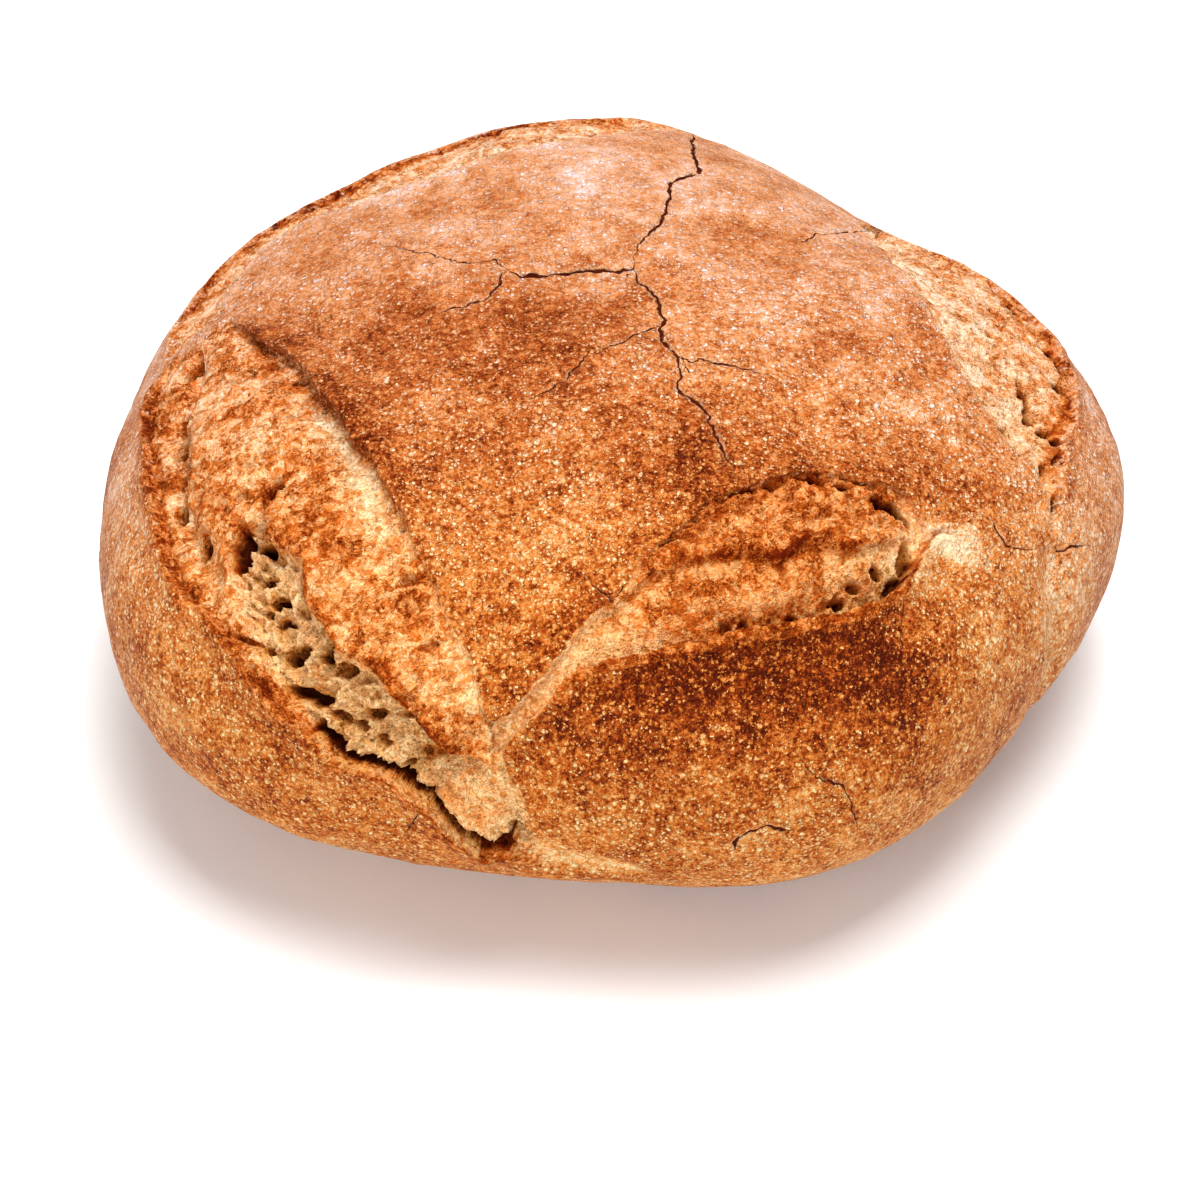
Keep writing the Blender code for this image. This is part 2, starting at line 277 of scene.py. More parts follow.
def open_left(places, peel, ragged, torn, fine):
    """A toasted skin that bulges below the plate, then a trough of open crumb, then a gap under the rim."""
    plate, down, _ = reach(LEFT_PLATE_EDGE, ragged)
    rim, along, _ = reach(LEFT_RIM, ragged)
    inside = within(LEFT_PLATE_EDGE, LEFT_RIM, ragged)
    trough = within(SKIN_EDGE, TROUGH_SIDE, ragged)
    skin_edge, _, _ = reach(SKIN_EDGE, ragged)
    side_edge, _, _ = reach(TROUGH_SIDE, ragged)
    channel, channel_share, _ = reach(CHANNEL, ragged)
    across = plate / (plate + rim + 0.01)
    high = ease(down / 0.12) * ease((0.62 - down) / 0.3)
    crest = (0.5 + 1.3 * high) * hump(plate, 5.0)
    lip = (1.2 + 1.4 * ease((along - 0.45) / 0.15)) * hump(rim, 4.0)
    lip = lip * ease(along / 0.1) * ease((1 - along) / 0.08)
    floor = -(0.5 + 2.0 * high) * ease(plate / 1.2) + (0.6 + 2.0 * high) * np.sin(np.pi * across) ** 0.8
    inner = np.where(trough, np.where(down < 0.7, np.minimum(skin_edge, side_edge), skin_edge), 0.0)
    low_rim = ease((along - 0.62) / 0.06) * ease((0.985 - along) / 0.04)
    floor -= 4.2 * ease(inner / 3.0) * (1 - 0.75 * low_rim * ease((9.0 - rim) / 5.0))
    floor -= 3.4 * hump(channel, 3.0) * ease((1.02 - channel_share) / 0.2)
    slit = ease((rim - 0.2) / 0.5) * ease((3.4 - rim) / 1.2) * low_rim
    floor -= 4.6 * slit
    dumpling = np.hypot((peel[:, 0] + 33) / 12.0, (peel[:, 1] + 137) / 9.0)
    floor += 1.4 * ease((1.15 - dumpling) / 0.9)
    smooth = ease((1.2 - dumpling) / 0.4)
    deep = holes(LEFT_HOLES, ragged)
    near_plate = hump(plate - 4.0, 3.6) * ease((down - 0.22) / 0.1) * ease((0.62 - down) / 0.1)
    crumb = ease(inner / 2.0) * (1 - smooth)
    toast = 0.49 - 0.36 * near_plate - 0.43 * crumb - 0.27 * smooth + 0.04 * ease((down - 0.35) / 0.2)
    toast += 0.22 * hump(skin_edge, 1.8) * (1 - smooth) * ease((0.98 - across) / 0.2)
    toast += 0.24 * hump(rim, 2.5) * ease((0.9 - along) / 0.3) - 0.16 * hump(channel, 2.2)
    toast -= 0.32 * ease((down - 0.62) / 0.15) * hump(plate, 7.0)
    toast += 0.26 * high * hump(plate, 1.4)
    if fine:
        u = ragged @ (0.447, -0.894)
        v = ragged @ (0.894, 0.447)
        streaks = wander(np.column_stack([u / 1.5, v / 6.0, places[:, 2] * 0.02]), 1.0, 5.0)
        fibres = wander(np.column_stack([u / 0.9, v / 4.0, places[:, 2] * 0.02]), 1.0, 9.0)
        patches = wander(places, 9.0, 12.0)
        flakes = 0.5 - 2.0 * np.abs(wander(places, 3.4, 14.0))
        crumbs = 0.5 - 2.0 * np.abs(wander(places, 1.6, 15.0))
        cells = np.zeros(len(places))
        small = np.zeros(len(places))
        tiny = np.zeros(len(places))
        cells[inside] = honeycomb(np.column_stack([u / 1.5, v / 0.8, 0 * u])[inside], 4.6, 2.0)
        small[inside] = honeycomb(places[inside], 2.0, 7.0)
        tiny[inside] = honeycomb(places[inside], 1.2, 8.0)
        bare = (1 - crumb) * (1 - smooth)
        floor += (0.35 * streaks + 0.55 * flakes + 0.30 * crumbs) * bare
        floor -= near_plate * (1.8 + 0.9 * fibres)
        floor -= crumb * (3.0 * cells + 1.2 * small + 0.6 * tiny)
        floor -= (0.7 * small + 0.4 * tiny) * bare * ease(patches * 1.5 + 0.4)
        floor += slit * 0.8 * flakes + smooth * 0.25 * crumbs
        toast += (0.20 * streaks + 0.26 * patches + 0.12 * flakes) * bare - 0.05 * crumb * cells
        # Painted shade: the trough, its cells and holes, the gap under the rim and the channel are drawn
        # darker.
        pit = crumb * (0.14 + 0.30 * cells + 0.10 * small + 0.06 * tiny)
        pit = pit + (deep - 0.8) / 5.0 + 0.10 * small * bare
        pit += ease((slit - 0.40) / 0.30) + 0.20 * hump(channel, 1.8) * ease((1.02 - channel_share) / 0.2)
        torn.fill(inside, pit=np.clip(pit, 0, 1))
        crest += 0.7 * high * flakes * hump(plate, 3.5)
        lip += 0.5 * (flakes + crumbs) * hump(rim, 2.0) * ease((1 - along) / 0.1)
    edge = 1 - ease(plate / 0.9)
    brink = 1 - ease(rim / 0.9)
    floor = floor * ease(plate / 0.9) * ease(rim / 0.9) - deep + crest * edge + lip * brink
    loose = np.where(plate < rim, 0.6, 0.8)
    wrapped = np.where(plate < rim, 1.3 * high, 0.1)
    torn.fill(inside, lift=floor, open=np.minimum(plate, rim) - wrapped, toast=toast, soft=loose)
    torn.lift += np.where(inside, 0.0, crest + lip)
    torn.bake += 0.20 * high * hump(plate - np.where(inside, 0.0, 1.0), 2.6) + 0.14 * hump(rim, 2.4)
    overhang = 0.8 * high * np.where(inside, edge, hump(plate, 2.5))
    lean = (0.9 + 0.7 * low_rim) * ease((along - 0.4) / 0.2) * ease((1 - along) / 0.1)
    lean *= np.where(inside, brink, hump(rim, 3.0))
    torn.push += overhang[:, None] * (-0.894, -0.447) + lean[:, None] * (0.894, 0.447)
    nearer = ~inside & (np.minimum(plate, rim) < -torn.open)
    browned = 1.2 * (rim < plate) * ease((along - 0.3) / 0.2) * ease((0.95 - along) / 0.1)
    torn.fill(nearer, open=browned - np.minimum(plate, rim) - wrapped, soft=loose, toast=0.70)


def open_front(places, peel, ragged, torn, fine):
    """A rough browned shelf under the plate's arch, then stretched crumb down to a thin burnt ear."""
    plate, over, _ = reach(FRONT_PLATE_EDGE, ragged)
    rim, along, _ = reach(FRONT_RIM, ragged)
    inside = within(FRONT_PLATE_EDGE, FRONT_RIM, ragged)
    shelf, _, _ = reach(FRONT_SHELF, ragged)
    slope = within(FRONT_SHELF, FRONT_RIM, ragged)
    arch = ease((over - 0.32) / 0.15) * ease((0.93 - over) / 0.12)
    middle = np.sin(np.pi * np.clip(along, 0.0, 1.0)) ** 0.7
    crest = (0.2 + 1.0 * arch) * hump(plate, 6.0)
    peak = hump(np.hypot(ragged[:, 0] - 37, ragged[:, 1] + 90), 4.0)
    ear = (0.4 + 2.4 * middle) * hump(rim, 3.2) + 2.8 * peak * hump(rim, 2.4)
    floor = -(0.4 + 0.3 * arch) * ease(plate / 1.2) + 0.4 * arch * ease(plate / 8.0)
    deeper = shelf / (shelf + rim + 0.01)
    wide = ease((plate + rim - 6.0) / 14.0)
    floor -= np.where(slope, 2.0 * ease(shelf / 0.9) + 5.0 * ease(deeper) ** 1.2, 0.0) * wide
    floor -= 1.6 * (1 - wide) * ease(plate / 1.5) * ease(rim / 1.5)
    deep = holes(FRONT_HOLES, ragged)
    lower = 0.50 - 0.36 * ease((7.0 - rim) / 5.0) - 0.20 * ease((peel[:, 0] - 45) / 12)
    toast = np.where(slope, lower, 0.60)
    toast = toast * wide + 0.16 * (1 - wide) + 0.18 * hump(plate, 2.5) * arch
    toast += 0.34 * hump(shelf, 1.3) * arch * wide + 0.60 * hump(rim, 1.6) * middle
    toast -= 0.14 * hump(np.hypot((peel[:, 0] - 66) / 8, (peel[:, 1] + 67) / 7), 1.0)
    if fine:
        flakes = 0.5 - 2.0 * np.abs(wander(places, 3.0, 24.0))
        crumbs = 0.5 - 2.0 * np.abs(wander(places, 1.5, 25.0))
        lumps = np.zeros(len(places))
        cells = np.zeros(len(places))
        tiny = np.zeros(len(places))
        lumps[inside] = honeycomb(places[inside], 2.4, 27.0)
        cells[slope] = honeycomb(places[slope] * (1.3, 1.0, 0.7), 2.6, 22.0)
        tiny[inside] = honeycomb(places[inside], 1.3, 23.0)
        low = np.where(slope, ease((deeper - 0.45) / 0.3), 0.0) * ease((over - 0.25) / 0.2)
        drawn = np.column_stack([ragged[:, 0] / 2.0, ragged[:, 1] / 7.0, places[:, 2] * 0.01])
        drips = wander(drawn, 1.0, 29.0)
        rough = hump(plate, 4.0) * arch
        ledge = 1.0 * flakes + 0.5 * crumbs + 0.9 * lumps
        floor += np.where(slope, 0.4 * drips + 0.2 * crumbs, ledge) * wide
        ear *= 1 + 0.4 * flakes + 0.3 * crumbs
        floor += 1.2 * rough * flakes
        floor -= (low * (1.5 * cells + 0.7 * tiny) + 0.25 * tiny) * wide
        toast += np.where(slope, 0.14 * drips, 0.12 * flakes) * wide
        # Painted shade: the holes, the lower slope's cells, the pockets under the arch and the slope are
        # drawn darker.
        pit = deep / 4.0 + low * (0.40 * cells + 0.20 * tiny)
        pit = pit + 0.30 * rough * (0.3 - flakes) + 0.10 * slope * wide
        torn.fill(inside, pit=np.clip(pit, 0, 1))
    edge = 1 - ease(plate / 0.9)
    brink = 1 - ease(rim / 0.9)
    floor = floor * ease(plate / 0.9) * ease(rim / 0.9) - deep + crest * edge + ear * brink
    loose = np.where((plate < rim) & (over > 0.3) & (over < 0.93), 0.4, 1.0)
    wrapped = np.where(plate < rim, 0.8 * arch, 0.0)
    torn.fill(inside, lift=floor, open=np.minimum(plate, rim) - wrapped, toast=toast, soft=loose)
    torn.lift += np.where(inside, 0.0, crest + ear)
    under_ear = ease((rim_side(peel) + 2.0) / 4.0)
    torn.bake += 0.12 * arch * hump(plate - 1.0, 3.5) + 0.16 * middle * under_ear * hump(rim - 4.0, 6.0)
    torn.bake -= 0.10 * middle * hump(rim, 1.5)
    overhang = 0.8 * arch * np.where(inside, edge, hump(plate, 2.5))
    lean = 1.4 * middle * np.where(inside, brink, hump(rim, 3.0))
    torn.push += overhang[:, None] * (0.15, -0.99) + lean[:, None] * (-0.2, 0.98)
    nearer = ~inside & (np.minimum(plate, rim) < -torn.open)
    burnt = 1.9 * ease((middle - 0.4) / 0.3) * ease((0.84 - along) / 0.1) + 1.2 * peak
    browned = np.where(rim < plate, burnt, 0.6 * arch)
    torn.fill(nearer, open=browned - np.minimum(plate, rim) - wrapped, soft=loose, toast=0.74)


def rim_side(peel):
    """Above 0 on the front lobe's side of the front rim, in mm."""
    return -(peel[:, 1] + 97.0 - 0.45 * (peel[:, 0] - 25.0))


def open_side(plate_edge, rim_edge, table, depth, lip_height, browned, seed, places, ragged, torn, fine):
    """A narrower opening: streaked crumb that sinks from the plate and climbs to a browned crest."""
    plate, _, _ = reach(plate_edge, ragged)
    rim, along, _ = reach(rim_edge, ragged)
    inside = within(plate_edge, rim_edge, ragged)
    middle = np.sin(np.pi * np.clip(along, 0.0, 1.0)) ** 0.8
    across = plate / (plate + rim + 0.01)
    crest = 0.5 * hump(plate, 5.0) * middle
    lip = lip_height * middle * hump(rim, 4.0)
    floor = -depth * np.sin(np.pi * across**0.65) * ease(plate / 2.0)
    deep = holes(table, ragged)
    toast = 0.30 - 0.12 * hump(across - 0.3, 0.25) + browned * hump(rim, 4.0) * middle
    if fine:
        flakes = 0.5 - 2.0 * np.abs(wander(places, 3.2, seed))
        streaks = wander(np.column_stack([plate / 1.7, 22 * along, 0 * plate]), 1.0, seed + 2)
        patches = wander(places, 7.0, seed + 3)
        small = np.zeros(len(places))
        small[inside] = honeycomb(places[inside], 2.4, seed + 5)
        floor += 0.6 * flakes + 0.6 * streaks - 0.9 * small * ease(patches * 1.5 + 0.4)
        toast += 0.34 * streaks + 0.16 * patches
        # Painted shade: the holes, the crumb cells and the pits beside the crest are drawn darker.
        pit = deep / 3.0 + 0.30 * small * ease(patches * 1.5 + 0.4)
        pit += 0.5 * small * hump(rim - 2.5, 3.0) * middle
        torn.fill(inside, pit=np.clip(pit, 0, 1))
    edge = 1 - ease(plate / 0.9)
    brink = 1 - ease(rim / 0.9)
    floor = floor * ease(plate / 0.9) * ease(rim / 0.9) - deep + crest * edge + lip * brink
    torn.fill(inside, lift=floor, open=np.minimum(plate, rim), toast=toast, soft=0.25)
    torn.lift += np.where(inside, 0.0, crest + lip)
    torn.bake += np.where(inside, 0.0, 0.5 * browned * hump(rim, 3.0) - 0.10 * hump(plate, 4.0)) * middle
    nearer = ~inside & (np.minimum(plate, rim) < -torn.open)
    torn.fill(nearer, open=-np.minimum(plate, rim), soft=0.25)


# The cracks and folds. As the loaf cooled its plate cracked along crooked lines, some wide enough to
# show crumb, and the lobes stay joined by soft pale folds. Each line has its widest half width and depth.
CRACKS = (
    (0.5, 1.8, (
        (24, 95), (23, 77), (24, 70), (25, 62), (17, 52), (16, 38), (15, 34), (11, 27), (9, 20),
        (9, 15),
    )),
    (0.75, 2.4, ((9, 15), (0, 13), (-7, 13), (-13, 12), (-18, 11), (-22, 14))),
    (0.26, 1.2, ((-22, 13), (-23, 7), (-27, 2), (-31, 0), (-35, -1), (-38, -4))),
    (0.18, 0.8, ((-22, 14), (-24, 18), (-30, 17), (-34, 18), (-40, 23), (-46, 26), (-52, 31))),
    (0.32, 1.4, (
        (9, 15), (11, 9), (13, 1), (15, -6), (14, -9), (14, -13), (17, -18), (20, -21), (22, -20),
        (27, -21), (34, -23), (39, -25),
    )),
    (0.28, 1.4, (
        (17, -18), (18, -24), (17, -29), (21, -33), (24, -37), (25, -42), (27, -47), (29, -52),
        (28, -55),
    )),
    (0.2, 1.0, ((14, -8), (9, -11), (5, -15), (3, -16), (1, -20))),
    (0.18, 0.8, ((-2, -20), (-4, -24), (-7, -28), (-10, -31), (-16, -35))),
    (0.2, 0.8, ((51, 34), (57, 41), (62, 44), (66, 48), (73, 54))),
    (0.16, 0.7, ((90, -52), (95, -56), (99, -55), (104, -52))),
    (0.25, 1.0, ((110, -48), (113, -47), (120, -41))),
    (0.16, 0.6, ((47, -118), (54, -121), (59, -121), (62, -124), (69, -132))),
    (0.16, 0.6, ((-2, -85), (3, -90), (7, -85))),
    (0.16, 0.6, ((-49, -135), (-56, -141))),
    (0.22, 0.8, ((37, -143), (37, -140), (40, -137), (44, -135), (49, -135), (50, -137))),
)
FOLDS = (
    ((110, -51), (115, -60), (121, -67), (128, -72), (134, -82)),
    ((-17, -150), (-12, -155), (1, -157), (13, -161)),
)
FOLD_WIDTH = 5.0
FOLD_DEPTH = 2.2


def crack_lines(places, peel):
    """For each place: the signed distance to the nearest crack, how wide it is there, and its depth."""
    crooked = peel + 0.9 * np.column_stack([wander(places, 3.0, 31.0), wander(places, 3.0, 33.0)])
    crooked += 0.55 * np.column_stack([wander(places, 1.2, 35.0), wander(places, 1.2, 37.0)])
    signed = np.full(len(peel), 9.0)
    width = np.zeros(len(peel))
    depth = np.zeros(len(peel))
    for half_width, deep, line in CRACKS:
        distance, share, side = reach(line, crooked)
        taper = np.minimum(ease(share / 0.12 + 0.25), ease((1 - share) / 0.25))
        nearer = distance < np.abs(signed)
        signed[nearer] = (distance * side)[nearer]
        uneven_width = 0.60 + 1.3 * np.abs(wander(places, 4.5, 39.0))
        width[nearer] = (half_width * uneven_width * taper * ease((3.0 - distance) / 1.5))[nearer]
        depth = np.maximum(depth, deep * taper * hump(distance, 0.8 * half_width + 0.25))
    return signed, width, 0.6 * depth


# Where the oven browned it more, or less: place, half width and half length, and how much darker.
BAKED_SPOTS = (
    (-13, -28, 26, 20, 0.13), (-10, -2, 22, 9, 0.1), (20, -51, 24, 12, 0.2), (-49, -30, 9, 34, 0.2),
    (-62, -2, 16, 8, 0.12), (60, -42, 24, 7, 0.1), (44, -95, 36, 13, 0.48), (40, -97, 26, 6, 0.16),
    (22, -117, 34, 17, 0.26), (72, -102, 22, 16, 0.14), (-4, -110, 14, 16, 0.08),
    (-28, -72, 16, 30, 0.1), (40, 35, 30, 12, 0.05), (119, -15, 14, 30, -0.16),
    (-117, -18, 14, 26, -0.12), (-72, -135, 30, 20, -0.02), (78, -62, 11, 4, -0.55),
    (-15, -76, 14, 6, -0.05), (44, -139, 6, 3, -0.08), (-6, 55, 40, 22, -0.04),
)
FOLD_PALENESS = ((0.16, 1.4), (0.42, 3.5))


def baked(places, peel, torn):
    """How dark the oven left the crust, from 0 to 1: darkest on the edges that stood up to the heat."""
    bake = 0.42 + 0.13 * wander(places, 30.0, 51.0) + 0.15 * wander(places, 11.0, 53.0) + torn.bake
    for x, y, across, along, darker in BAKED_SPOTS:
        bake += darker * hump(np.hypot((peel[:, 0] - x) / across, (peel[:, 1] - y) / along), 1.0)
    paler_flank = 0.08 * hump(np.hypot(peel[:, 0] - 94, peel[:, 1] + 76), 26.0)
    bake -= 0.10 * ease((peel[:, 1] + 5) / 50.0) + paler_flank
    for (paler, wide), line in zip(FOLD_PALENESS, FOLDS):
        distance, _, _ = reach(line, peel)
        bake -= paler * hump(distance, wide)
    return bake


# How long the triangles' sides may be, in mm: finest where crumb is open and beside the cracks.
CRUST_SIDE = 2.4
BACK_SIDE = 3.0
UNDERSIDE_SIDE = 4.0
STREAKED_SIDE = 1.0
TORN_SIDE = 0.78
CRACK_SIDE = 0.62


def shaped(unit, fine):
    """Places of the crust in mm for points of the unit sphere, and what its material needs there."""
    points, outward, peel, bearing = dome(unit)
    rags = np.column_stack([uneven(points, RAGGED_EDGES), uneven(points[:, [1, 2, 0]], RAGGED_EDGES)])
    ragged = peel + rags
    if fine:
        ragged += FINE_RAGS * np.column_stack([wander(points, 1.2, 71.0), wander(points, 1.2, 73.0)])
    torn = Torn(len(unit))
    torn.lift += uneven(points, UNEVENNESS)
    even = torn.lift.copy()
    torn.lift[:] = 0.0
    open_left(points, peel, ragged, torn, fine)
    open_front(points, peel, ragged, torn, fine)
    open_side(RIGHT_PLATE_EDGE, RIGHT_RIM, RIGHT_HOLES, 3.4, 1.4, 0.40, 80.0, points, ragged, torn, fine)
    open_side(BACK_PLATE_EDGE, BACK_RIM, (), 3.6, 0.8, 0.55, 90.0, points, ragged, torn, fine)
    torn.lift += even
    signed, width, depth = crack_lines(points, peel)
    torn.lift -= np.where(torn.open > 0, 0.0, depth)
    for line in FOLDS:
        distance, _, _ = reach(line, ragged)
        torn.lift -= FOLD_DEPTH * hump(distance, FOLD_WIDTH)
    if fine:
        torn.lift += np.where(torn.open > 0, 0.15, 0.35) * wander(points, 5.0, 75.0)
    round_way = np.column_stack([-np.sin(bearing), np.cos(bearing), np.zeros(len(bearing))])
    down_way = np.cross(round_way, outward)
    tape_push = torn.push[:, 0] * np.cos(bearing) + torn.push[:, 1] * np.sin(bearing)
    round_push = torn.push[:, 1] * np.cos(bearing) - torn.push[:, 0] * np.sin(bearing)
    points = points + outward * torn.lift[:, None]
    points += down_way * tape_push[:, None]
    points += round_way * round_push[:, None]
    foot = np.clip(1 - points[:, 2] / SETTLED_HEIGHT, 0.0, 1.6)
    points[:, 2] = np.maximum(points[:, 2] - SETTLED_DROP * foot**2, 0.0)
    points[:, :2] += CROWN_OFF_MIDDLE
    notes = {}
    if fine:
        notes = {
            "open": np.clip(torn.open * torn.soft, -8, 8),
            "toast": torn.toast,
            "pit": torn.pit,
            "bake": baked(points, peel, torn),
            "split": signed,
            "split_width": width,
        }
    detail = np.where(peel[:, 1] > 60, BACK_SIDE, CRUST_SIDE)
    detail += UNDERSIDE_SIDE * ease((25 - points[:, 2]) / 15.0)
    detail = np.where(torn.open > -1.3, np.where(torn.soft < 0.28, STREAKED_SIDE, TORN_SIDE), detail)
    in_crack = (width > 0.05) & (np.abs(signed) < 1.2)
    detail = np.where(in_crack, np.minimum(detail, CRACK_SIDE), detail)
    return points, notes, detail


bpy.ops.object.select_all(action="DESELECT")
bpy.ops.mesh.primitive_ico_sphere_add(subdivisions=START_SUBDIVISIONS, radius=1.0, location=(0, 0, 0))
loaf = bpy.context.object
loaf.name = loaf.data.name = "loaf_crust"


def unit_places(mesh):
    unit = np.zeros(len(mesh.vertices) * 3)
    mesh.vertices.foreach_get("co", unit)
    unit = unit.reshape(-1, 3)
    return unit / np.linalg.norm(unit, axis=1)[:, None]


for _ in range(REFINING_ROUNDS):
    unit = unit_places(loaf.data)
    loaf.data.vertices.foreach_set("co", unit.ravel())
    points, _, detail = shaped(unit, False)
    ends = np.zeros(len(loaf.data.edges) * 2, int)
    loaf.data.edges.foreach_get("vertices", ends)
    first, second = ends.reshape(-1, 2).T
    side = np.linalg.norm(points[first] - points[second], axis=1)
    too_long = side > 1.3 * np.minimum(detail[first], detail[second])
    loaf.data.polygons.foreach_set("select", np.zeros(len(loaf.data.polygons), bool))
    loaf.data.vertices.foreach_set("select", np.zeros(len(loaf.data.vertices), bool))
    loaf.data.edges.foreach_set("select", too_long)
    bpy.context.tool_settings.mesh_select_mode = (False, True, False)
    bpy.ops.object.mode_set(mode="EDIT")
    bpy.ops.mesh.subdivide(number_cuts=1, smoothness=0.0)
    bpy.ops.mesh.select_all(action="SELECT")
    bpy.ops.mesh.quads_convert_to_tris(quad_method="BEAUTY", ngon_method="BEAUTY")
    bpy.ops.object.mode_set(mode="OBJECT")

# Two edges that end in the same places get a corner each in their middle, and those become one.
loaf.data.vertices.foreach_set("co", unit_places(loaf.data).ravel())
bpy.ops.object.mode_set(mode="EDIT")
bpy.ops.mesh.select_all(action="SELECT")
bpy.ops.mesh.remove_doubles(threshold=0.00001)
bpy.ops.object.mode_set(mode="OBJECT")

points, notes, _ = shaped(unit_places(loaf.data), True)
loaf.data.vertices.foreach_set("co", (points * MM).ravel())
for name, values in notes.items():
    layer = loaf.data.attributes.new(name, "FLOAT", "POINT")
    layer.data.foreach_set("value", values.astype(np.float32))
loaf.data.update()
bpy.ops.object.shade_smooth()


# The crust itself: starch that dried and browned, from cream where crumb is bare to near black on the
# ear. Its skin is covered in tiny raised blisters that stayed paler than the ground between them.
BAKES = (
    (0.0, (0.88, 0.62, 0.45)), (0.12, (0.78, 0.43, 0.26)), (0.28, (0.68, 0.288, 0.11)),
    (0.45, (0.55, 0.171, 0.039)), (0.62, (0.38, 0.074, 0.01)), (0.8, (0.18, 0.024, 0.002)),
    (1.0, (0.06, 0.005, 0.0005)),
)
CRUMBS = (
    (0.0, (0.95, 0.67, 0.44)), (0.15, (0.9, 0.51, 0.27)), (0.3, (0.8, 0.35, 0.14)),
    (0.48, (0.68, 0.205, 0.045)), (0.68, (0.44, 0.088, 0.008)), (0.84, (0.28, 0.04, 0.003)),
    (1.0, (0.13, 0.012, 0.001)),
)
# Painted shade for the crumb: it is multiplied darker and browner the deeper it lies in a hollow.
HOLLOW_SHADES = (
    (0.0, (1.0, 1.0, 1.0)), (0.35, (0.82, 0.6, 0.32)), (0.65, (0.42, 0.2, 0.06)),
    (1.0, (0.07, 0.016, 0.003)),
)
# Painted shade inside the narrow cracks, drawn near black.
CRACK_SHADE = (0.085, 0.008, 0.001, 1.0)
LIP_CREAM = (0.86, 0.50, 0.27, 1.0)
# Skin tints from front to back; the paler, whiter one at the back and top is painted sheen.
SKIN_SHEEN_TINTS = ((1.0, 0.96, 0.62, 1.0), (1.0, 1.15, 1.62, 1.0))
CRUMB_TINTS = ((1.0, 0.95, 0.72, 1.0), (1.0, 1.05, 1.20, 1.0))

crust = bpy.data.materials.new("baked_crust")
crust.use_nodes = True
tree = crust.node_tree
surface = tree.nodes["Principled BSDF"]


def feed(socket, value):
    if isinstance(value, bpy.types.NodeSocket):
        tree.links.new(value, socket)
    else:
        socket.default_value = value


def place_node(kind, values=(), **settings):
    node = tree.nodes.new(kind)
    for name, setting in settings.items():
        setattr(node, name, setting)
    for name, value in values:
        feed(node.inputs[name], value)
    return node


def sum_of(kind, *values, clamp=False):
    return place_node("ShaderNodeMath", list(enumerate(values)), operation=kind, use_clamp=clamp).outputs[0]


def vector_of(kind, *values):
    return place_node("ShaderNodeVectorMath", values, operation=kind).outputs["Vector"]


def blend_of(share, first, second, kind="MIX"):
    mix = place_node("ShaderNodeMix", data_type="RGBA", blend_type=kind, clamp_factor=True)
    feed(mix.inputs[0], share)
    feed(mix.inputs[6], first)
    feed(mix.inputs[7], second)
    return mix.outputs[2]


def between(value, low, high, to_low=0.0, to_high=1.0):
    values = (
        ("Value", value), ("From Min", low), ("From Max", high), ("To Min", to_low), ("To Max", to_high),
    )
    return place_node("ShaderNodeMapRange", values, interpolation_type="SMOOTHSTEP").outputs["Result"]


def note(name):
    return place_node("ShaderNodeAttribute", attribute_name=name).outputs["Fac"]


in_mm = place_node("ShaderNodeMapping", [("Scale", (1000, 1000, 1000))])
feed(in_mm.inputs["Vector"], place_node("ShaderNodeTexCoord").outputs["Object"])
in_mm = in_mm.outputs["Vector"]


def grain(size, detail, roughness, distortion=0.0):
    values = (
        ("Vector", in_mm), ("Scale", 1.0 / size), ("Detail", detail), ("Roughness", roughness),
        ("Distortion", distortion),
    )
    return place_node("ShaderNodeTexNoise", values).outputs["Fac"]


def ramp_of(table, amount):
    ramp = place_node("ShaderNodeValToRGB")
    stops = ramp.color_ramp.elements
    stops[0].position, stops[1].position = table[0][0], table[-1][0]
    stops[0].color, stops[1].color = (*table[0][1], 1), (*table[-1][1], 1)
    for position, colour in table[1:-1]:
        stops.new(position).color = (*colour, 1)
    feed(ramp.inputs["Fac"], amount)
    return ramp.outputs["Color"]


def away_from_half(noise_value, strength):
    return sum_of("MULTIPLY", sum_of("SUBTRACT", noise_value, 0.5), strength)


def blisters_of(size, fullness, seed):
    """Round raised specks, each with its own size and paleness: up to 1 on top and 0 between."""
    moved = vector_of("ADD", (0, in_mm), (1, wobble))
    moved = vector_of("ADD", (0, moved), (1, (seed, seed, seed)))
    cells = place_node("ShaderNodeTexVoronoi", [("Vector", moved), ("Scale", 1.0 / size)])
    own = place_node("ShaderNodeSeparateColor", [("Color", cells.outputs["Color"])]).outputs
    radius = between(own[0], 0.0, 1.0, fullness - 0.16, fullness + 0.16)
    far = sum_of("DIVIDE", cells.outputs["Distance"], radius)
    return sum_of("MULTIPLY", between(far, 1.10, 0.50), between(own[1], 0.0, 1.0, 0.25, 1.0))


coarse = grain(6.0, 3.0, 0.55)
mottle = grain(2.2, 3.0, 0.6, 0.4)
speck = grain(0.85, 3.0, 0.62, 0.5)
dust = grain(0.30, 2.0, 0.6)
shake = place_node("ShaderNodeTexNoise", [("Vector", in_mm), ("Scale", 1.6), ("Detail", 2.0)])
wobble = vector_of("SCALE", (0, shake.outputs["Color"]), ("Scale", 1.2))

